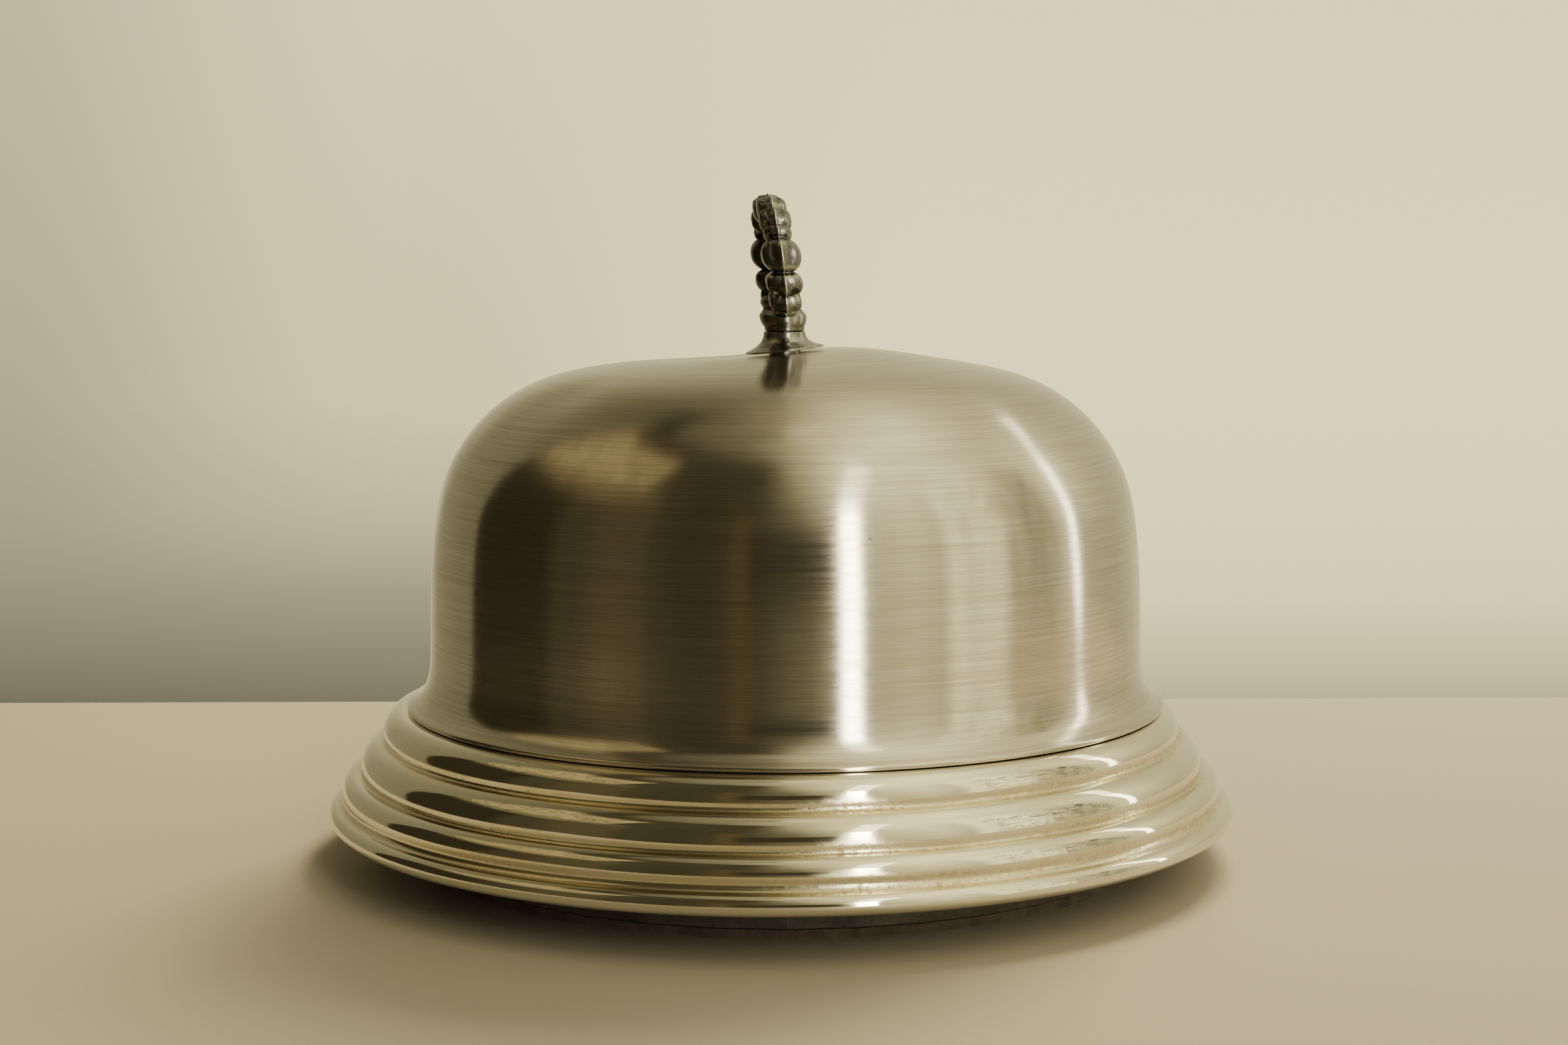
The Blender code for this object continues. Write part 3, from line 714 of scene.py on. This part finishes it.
def makeRose(settings, finish):
    outline = closedLine(settings["outline"], settings["step"])
    # darker on the rose's neck
    neckDarkening = np.clip(settings["neck"] - outline[:, 0], 0, 1) * 0.7
    # the rose gets a painted highlight, less on its neck
    marks = {"hollow": neckDarkening, "highlightShare": 0.5 - 0.45 * neckDarkening}
    rose = turnedPiece("keyRose", outline, finish, bellX, settings["segments"], marks)
    places = readPlaces(rose.data)
    x, z = places[:, 0] - bellX, places[:, 2]
    share = np.clip((settings["levelTop"] - z) / settings["bendDrop"], 0, 1)
    fade = np.exp(-np.abs(x / gongSettings["crownReach"][0]) ** gongSettings["crownPower"])
    places[:, 2] += gongSettings["crownSlope"] * x * fade * share
    writePlaces(rose.data, places)
    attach(rose, "base")
    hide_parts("rose")
    print("rose:", len(rose.data.vertices), "points")


castFinish = oxidisedSilver(castSettings)
makeKey(keySettings, castFinish)
makeRose(roseSettings, castFinish)


# The hidden foot, and the works inside.

def plainMetal(name, light, dark, roughness, metallic=1.0, scale=900, strength=0.2):
    mat, nodes, links, shader = newFinish(name, Metallic=metallic)
    place = objectSpots(nodes)
    cloud = addNoise(nodes, links, place, scale / 8, 4, 0.6)
    grain = addNoise(nodes, links, place, scale, 3, 0.65)
    base = addMix(nodes, links, addRange(nodes, links, cloud, 0.3, 0.7), light, dark)
    links.new(base, shader.inputs["Base Color"])
    rough = addRange(nodes, links, grain, 0.3, 0.7, roughness * 0.8, roughness * 1.25)
    links.new(rough, shader.inputs["Roughness"])
    addBump(nodes, links, shader, grain, strength, 0.00005)
    return mat


worksSettings = {
    "brass_works": {"name": "lathedBrass", "light": (0.78, 0.6, 0.3), "dark": (0.62, 0.45, 0.2),
                    "roughness": 0.28},
    "steel_works": {"name": "workedSteel", "light": (0.56, 0.55, 0.53), "dark": (0.42, 0.41, 0.4),
                    "roughness": 0.32},
    "cast_iron_black": {"name": "blackCasting", "light": (0.09, 0.08, 0.065), "dark": (0.05, 0.045, 0.036),
                        "roughness": 0.6, "metallic": 0.2, "scale": 1400, "strength": 0.6},
    # the felt is coloured as dark as the shadow under the base: painted shade
    "felt_dark": {"name": "feltInPaintedShade", "light": (0.1, 0.08, 0.06), "dark": (0.06, 0.048, 0.035),
                  "roughness": 0.95, "metallic": 0.0, "scale": 2600, "strength": 0.9},
}
slotFinishes = {slot: plainMetal(**values) for slot, values in worksSettings.items()}
slotFinishes["oxidised_silver"] = castFinish
slotFinishes["nickel_shell"] = slotFinishes["silver_plate"] = slotFinishes["steel_works"]
for part in frame["record"]["subparts"]:
    node = frame["nodes"][part["node"]]
    for holder in node.material_slots:
        holder.material = slotFinishes[part["material_slot"]]
print("works finished")


# Floor, light and camera.

def lightNodes(name):
    mat = bpy.data.materials.new(name)
    mat.use_nodes = True
    nodes, links = mat.node_tree.nodes, mat.node_tree.links
    nodes.clear()
    glow, out = nodes.new("ShaderNodeEmission"), nodes.new("ShaderNodeOutputMaterial")
    links.new(glow.outputs["Emission"], out.inputs["Surface"])
    return mat, nodes, links, glow


def addRamp(nodes, links, value, stops):
    ramp = nodes.new("ShaderNodeValToRGB")
    ramp.color_ramp.interpolation = "LINEAR"
    elements = ramp.color_ramp.elements
    while len(elements) < len(stops):
        elements.new(0.5)
    for element, (place, colour) in zip(elements, stops):
        element.position = place
        element.color = (*colour, 1)
    links.new(value, ramp.inputs["Fac"])
    return ramp.outputs["Color"]


# A light tent stands round the table: soft levels by bearing from the front, in bands of height.
tentSettings = {
    "radius": 2.4,
    "strength": 3.0,
    "colour": (1.0, 0.89, 0.5),
    "amber": (1.0, 0.74, 0.3),
    "bands": {
        -4: ((-180, 0.9), (-168, 0.85), (-158, 0.5), (-148, 0.32), (-122, 0.25), (8, 0.22), (14, 0.4),
             (26, 0.75), (40, 1.0), (50, 0.8), (53, 1.6), (72, 2.3), (75, 0.75), (92, 0.8), (104, 1.2),
             (110, 0.62), (130, 0.62), (150, 0.8), (165, 1.0), (180, 1.0)),
        32: ((-180, 0.4), (-150, 0.34), (-134, 0.28), (-118, 0.24), (4, 0.24), (14, 0.6), (30, 1.2),
             (42, 1.5), (50, 1.1), (54, 1.8), (72, 2.3), (78, 1.5), (88, 0.75), (100, 1.2), (112, 1.6),
             (124, 1.1), (138, 0.85), (160, 0.7), (180, 0.6)),
        52: ((-180, 0.35), (-160, 0.2), (-148, 0.2), (-20, 0.16), (-4, 0.34), (10, 0.7), (28, 1.8), (54, 1.8),
             (80, 1.4), (110, 1.1), (140, 1.05), (165, 0.95), (180, 0.6)),
        67: ((-180, 0.4), (-160, 0.22), (-146, 0.1), (-30, 0.15), (-10, 0.36), (15, 0.8), (35, 1.5),
             (60, 1.9), (100, 2.0), (125, 1.7), (150, 1.4), (166, 1.0), (180, 0.5)),
        82: ((-180, 0.55), (-140, 0.36), (-90, 0.27), (-40, 0.34), (0, 0.6), (50, 1.1), (80, 1.4), (120, 1.2),
             (150, 0.9), (180, 0.6)),
    },
    # the dim room at the left: bearings, heights, soft edges (left, right, foot, top), level,
    # amber share, leafy break-up
    "patches": (
        ((-117, 10), (-60, 71), (4, 24, 4, 5), 0.075, 0.3, 0.0),
        ((-150, -100), (62, 71), (8, 8, 4, 4), 0.07, 0.3, 0.0),
        ((-119, -51), (32, 63), (8, 6, 9, 5), 0.62, 0.75, 0.75),
        ((-96, -44), (30, 44), (6, 6, 6, 6), 0.24, 0.7, 0.7),
        ((-70, -41), (-50, 42), (12, 6, 4, 6), 0.11, 0.5, 0.3),
        ((-118, -74), (-60, 34), (3.5, 9, 4, 5), 0.04, 0.3, 0.0),
        ((-38, -20), (-50, 50), (5, 5, 4, 6), 0.065, 0.2, 0.0),
        ((-19, -8), (-50, 36), (4, 4, 4, 6), 0.12, 0.9, 0.2),
        ((-14, 17), (-1, 24), (5, 4, 4, 7), 0.055, 0.2, 0.0),
    ),
    # boughs outside the window, seen only as soft dark flecks in polished metal
    "boughs": {"bearings": (54, 99), "heights": (-10, 42), "edges": (8, 5, 7, 9), "scale": 6.5,
               "leaves": (0.5, 0.54), "gaps": (0.42, 0.56), "colour": (0.03, 0.03, 0.012),
               "strength": 0.9},
}


def skyAngles(nodes, links):
    # bearing from the front and height above the table, in degrees, of a place on the tent
    place = objectSpots(nodes)
    split = nodes.new("ShaderNodeSeparateXYZ")
    links.new(place, split.inputs["Vector"])
    forward = addMath(nodes, links, "MULTIPLY", split.outputs["Y"], -1.0)
    bearing = addMath(nodes, links, "ARCTAN2", split.outputs["X"], forward)
    length = nodes.new("ShaderNodeVectorMath")
    length.operation = "LENGTH"
    links.new(place, length.inputs["Vector"])
    lift = addMath(nodes, links, "DIVIDE", split.outputs["Z"], length.outputs["Value"])
    height = addMath(nodes, links, "ARCSINE", lift)
    toDegrees = 180 / math.pi
    return (place, addMath(nodes, links, "MULTIPLY", bearing, toDegrees),
            addMath(nodes, links, "MULTIPLY", height, toDegrees))


def tentFinish(settings):
    mat, nodes, links, glow = lightNodes("tentLight")
    place, bearing, height = skyAngles(nodes, links)
    turn = addRange(nodes, links, bearing, -180, 180, 0, 1, smooth=False)

    def tint(level, amber=0.0):
        return tuple(level / settings["strength"] * (a * amber + c * (1 - amber))
                     for a, c in zip(settings["amber"], settings["colour"]))

    def window(bearings, heights, edges):
        sides = (addRange(nodes, links, bearing, bearings[0], bearings[0] + edges[0]),
                 addRange(nodes, links, bearing, bearings[1], bearings[1] - edges[1]),
                 addRange(nodes, links, height, heights[0], heights[0] + edges[2]),
                 addRange(nodes, links, height, heights[1], heights[1] - edges[3]))
        share = sides[0]
        for side in sides[1:]:
            share = addMath(nodes, links, "MULTIPLY", share, side)
        return share

    colour, lastHeight = None, None
    for bandHeight, levels in settings["bands"].items():
        stops = [((degrees + 180) / 360, tint(level)) for degrees, level in levels]
        band = addRamp(nodes, links, turn, stops)
        if colour is None:
            colour = band
        else:
            share = addRange(nodes, links, height, lastHeight, bandHeight, 0, 1, smooth=False)
            colour = addMix(nodes, links, share, colour, band)
        lastHeight = bandHeight
    boughs = settings["boughs"]
    leaf = addNoise(nodes, links, place, boughs["scale"], 8, 0.66, 1.8)
    gaps = addRange(nodes, links, leaf, *boughs["gaps"])
    for bearings, heights, edges, level, amber, broken in settings["patches"]:
        share = window(bearings, heights, edges)
        if broken:
            opening = addMath(nodes, links, "MULTIPLY", gaps, broken)
            opening = addMath(nodes, links, "ADD", opening, 1 - broken)
            share = addMath(nodes, links, "MULTIPLY", share, opening)
        colour = addMix(nodes, links, share, colour, tint(level, amber))
    share = window(boughs["bearings"], boughs["heights"], boughs["edges"])
    share = addMath(nodes, links, "MULTIPLY", share, addRange(nodes, links, leaf, *boughs["leaves"]))
    share = addMath(nodes, links, "MULTIPLY", share, boughs["strength"])
    colour = addMix(nodes, links, share, colour, boughs["colour"])
    links.new(colour, glow.inputs["Color"])
    glow.inputs["Strength"].default_value = settings["strength"]
    return mat


def makeTent(settings):
    mesh = bpy.data.meshes.new("lightTent")
    work = bmesh.new()
    bmesh.ops.create_uvsphere(work, u_segments=48, v_segments=24, radius=settings["radius"])
    work.to_mesh(mesh)
    work.free()
    mesh.materials.append(tentFinish(settings))
    tent = makeObject("lightTent", mesh)
    tent.visible_camera = False


makeTent(tentSettings)

# Tall bright strips, each a line of (bearing, height) with its half width in degrees.
stripSettings = {
    "distance": 2.1,
    "strips": (
        (((20, -16), (20, 0), (20, 14), (20.8, 24), (22.4, 34)), 2.3, 22.0, (1.0, 0.96, 0.74)),
        (((22.4, 34), (25, 43), (30, 52), (38, 60)), 3.0, 3.6, (1.0, 0.94, 0.66)),
        (((104, -14), (104, 0), (104.6, 12), (107, 24), (112, 33)), 1.5, 7.5, (1.0, 0.96, 0.7)),
        (((112, 33), (119, 38), (128, 41.5), (140, 43)), 1.6, 3.6, (1.0, 0.93, 0.62)),
    ),
}


def makeStrip(index, strip, distance):
    points, half, level, colour = strip
    line = smoothCurve(points, 5)
    way = np.gradient(line, axis=0)
    way /= np.hypot(way[:, 0], way[:, 1])[:, None]
    verts = []
    for (bearing, height), (alongBearing, alongHeight) in zip(line, way):
        for side in (-half, half):
            b = math.radians(bearing + side * alongHeight / math.cos(math.radians(height)))
            h = math.radians(height - side * alongBearing)
            verts.append((distance * math.sin(b) * math.cos(h), -distance * math.cos(b) * math.cos(h),
                          distance * math.sin(h)))
    faces = [(2 * i, 2 * i + 1, 2 * i + 3, 2 * i + 2) for i in range(len(line) - 1)]
    mesh = bpy.data.meshes.new(f"strip{index}")
    mesh.from_pydata(verts, [], faces)
    mat, _, _, glow = lightNodes(f"strip{index}")
    glow.inputs["Color"].default_value = (*colour, 1)
    glow.inputs["Strength"].default_value = level
    mesh.materials.append(mat)
    piece = makeObject(f"strip{index}", mesh)
    piece.visible_camera = False


for index, strip in enumerate(stripSettings["strips"]):
    makeStrip(index, strip, stripSettings["distance"])

# The table's near part shows in the metal; the apron round it is only seen directly.
tableSettings = {
    "thick": 0.022,
    "light": (0.385, 0.345, 0.29),
    "dark": (0.355, 0.315, 0.265),
    "roughness": 0.55,
    "near": ((-0.13, -0.115), (0.4, 0.123)),
    "apron": (((-1.3, -1.3), (1.3, -0.115)), ((-1.3, -0.115), (-0.13, 0.123)),
              ((0.4, -0.115), (1.3, 0.123))),
}


def tableFinish(settings):
    mat, nodes, links, shader = newFinish("paleTable", Roughness=settings["roughness"])
    place = objectSpots(nodes)
    grain = addNoise(nodes, links, place, 1300, 3, 0.6)
    cloud = addNoise(nodes, links, place, 9, 2, 0.5)
    base = addMix(nodes, links, cloud, settings["dark"], settings["light"])
    links.new(base, shader.inputs["Base Color"])
    addBump(nodes, links, shader, grain, 0.3, 0.00012)
    return mat


def makeTable(settings):
    finish = tableFinish(settings)
    for index, (low, high) in enumerate((settings["near"], *settings["apron"])):
        name = "tableTop" if index == 0 else f"tableApron{index}"
        mesh = bpy.data.meshes.new(name)
        work = bmesh.new()
        bmesh.ops.create_cube(work, size=1)
        work.to_mesh(mesh)
        work.free()
        middle = ((low[0] + high[0]) / 2, (low[1] + high[1]) / 2, -settings["thick"] / 2)
        size = (high[0] - low[0], high[1] - low[1], settings["thick"], 1)
        mesh.transform(Matrix.Translation(middle) @ Matrix.Diagonal(size))
        mesh.materials.append(finish)
        slab = makeObject(name, mesh)
        slab.visible_glossy = index == 0


makeTable(tableSettings)

# The wall behind: levels from its foot to its top, at its left, near the bell and at its right. Its light and
# shade are painted: it is dimmer at its foot and on its left, and the low levels near the bell are the bell's
# painted shadow.
wallSettings = {
    "slopes": (-0.176, 0.08),
    "left": ((0.0, 0.2), (0.1, 0.3), (0.25, 0.46), (0.45, 0.58), (0.7, 0.7), (1.0, 0.8)),
    "middle": ((0.0, 0.22), (0.07, 0.3), (0.16, 0.44), (0.28, 0.8), (0.45, 1.17), (1.0, 1.35)),
    "right": ((0.0, 0.72), (0.07, 1.05), (0.15, 1.4), (0.25, 1.58), (0.5, 1.68), (1.0, 1.58)),
    "colour": (1.0, 0.9, 0.44),
    "shade": (1.0, 0.95, 0.6),
    # level at which the wall has its full colour and none of the shade's
    "fullLevel": 1.2,
    # where the left ramp gives way to the middle one, and that to the right one
    "leftBlend": (-0.3, -0.14),
    "rightBlend": (-0.14, 0.06),
    "leastDepth": 0.05,
    "strength": 2.0,
}


def makeWall(settings):
    world = bpy.data.worlds.new("wall")
    bpy.context.scene.world = world
    world.use_nodes = True
    nodes, links = world.node_tree.nodes, world.node_tree.links
    where, split = nodes.new("ShaderNodeTexCoord"), nodes.new("ShaderNodeSeparateXYZ")
    links.new(where.outputs["Generated"], split.inputs["Vector"])
    depth = addMath(nodes, links, "ABSOLUTE", split.outputs["Y"])
    away = addMath(nodes, links, "MAXIMUM", depth, settings["leastDepth"])
    slope = addMath(nodes, links, "DIVIDE", split.outputs["Z"], away)
    side = addMath(nodes, links, "DIVIDE", split.outputs["X"], away)
    rise = addRange(nodes, links, slope, *settings["slopes"], 0, 1, smooth=False)

    def levels(key):
        stops = []
        for place, level in settings[key]:
            bright = min(1.0, level / settings["fullLevel"])
            tint = [s * (1 - bright) + c * bright for s, c in zip(settings["shade"], settings["colour"])]
            stops.append((place, tuple(level / settings["strength"] * t for t in tint)))
        return addRamp(nodes, links, rise, stops)

    # the left and near-bell ramps carry the painted shade and the bell's painted shadow on the wall
    nearBell = addRange(nodes, links, side, *settings["leftBlend"])
    pastBell = addRange(nodes, links, side, *settings["rightBlend"])
    colour = addMix(nodes, links, nearBell, levels("left"), levels("middle"))
    colour = addMix(nodes, links, pastBell, colour, levels("right"))
    links.new(colour, nodes["Background"].inputs["Color"])
    nodes["Background"].inputs["Strength"].default_value = settings["strength"]


makeWall(wallSettings)

lampSettings = {"place": (0.24, 0.5, 0.6), "target": (0, 0, 0), "size": 0.3, "power": 12.5,
                "colour": (1.0, 0.88, 0.52)}


def makeLamp(settings):
    data = bpy.data.lights.new("sideLamp", "AREA")
    data.shape = "SQUARE"
    data.size = settings["size"]
    data.energy = settings["power"]
    data.color = settings["colour"]
    lamp = makeObject("sideLamp", data)
    lamp.location = settings["place"]
    aim = Vector(settings["target"]) - lamp.location
    lamp.rotation_euler = aim.to_track_quat("-Z", "Y").to_euler()
    lamp.visible_camera = False
    lamp.visible_glossy = False


makeLamp(lampSettings)

cameraSettings = {"place": (0.526, -384.9, 90.01), "pitch": 0.1088, "roll": -0.0035,
                  "lens": 61.22, "sensor": 36, "nearest": 0.01}


def makeCamera(settings):
    data = bpy.data.cameras.new("camera")
    data.lens = settings["lens"]
    data.sensor_width = settings["sensor"]
    data.clip_start = settings["nearest"]
    camera = makeObject("camera", data)
    tilt = Matrix.Rotation(math.pi / 2 - settings["pitch"], 4, "X")
    turn = tilt @ Matrix.Rotation(settings["roll"], 4, "Z")
    camera.matrix_world = Matrix.Translation(Vector(settings["place"]) * mm) @ turn
    bpy.context.scene.camera = camera


makeCamera(cameraSettings)
print("table, light and camera placed")
